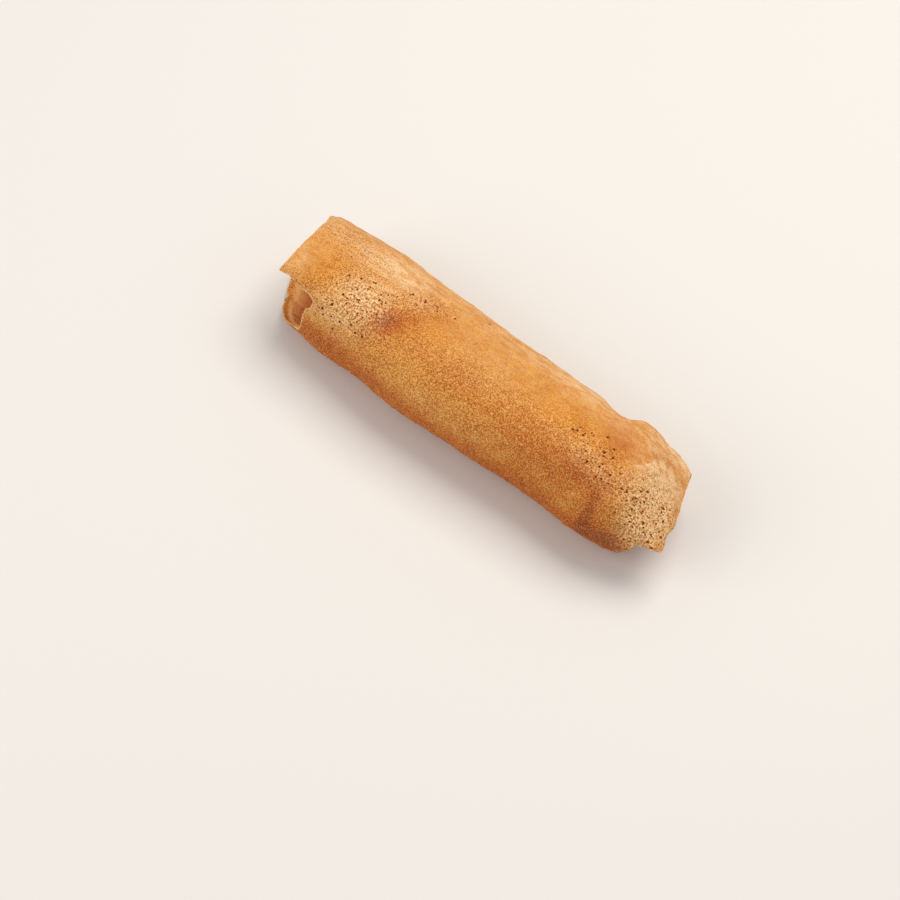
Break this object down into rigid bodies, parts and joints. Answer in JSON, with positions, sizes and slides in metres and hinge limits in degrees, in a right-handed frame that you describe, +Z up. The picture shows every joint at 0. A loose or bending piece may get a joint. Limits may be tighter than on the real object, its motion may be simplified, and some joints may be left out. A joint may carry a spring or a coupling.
{
  "type": "fried spring roll",
  "caption": "Long cigar-shaped roll of crisp fried wrapper, blistered on top, torn open down the side at one end and drooping over an open mouth at the other.",
  "frame": {"origin": "under the middle of the roll, on the surface that it lies on", "axes": "+X along the roll, away from the torn mouth; +Y across it, away from the torn side; +Z up"},
  "size_m": [0.1248, 0.033, 0.0269],
  "materials": {
    "fried_wrapper": "satin, lightly oily crisp fried wheat wrapper"
  },
  "bodies": {
    "root": {"spring_roll": "fried_wrapper"}
  },
  "joints": []
}
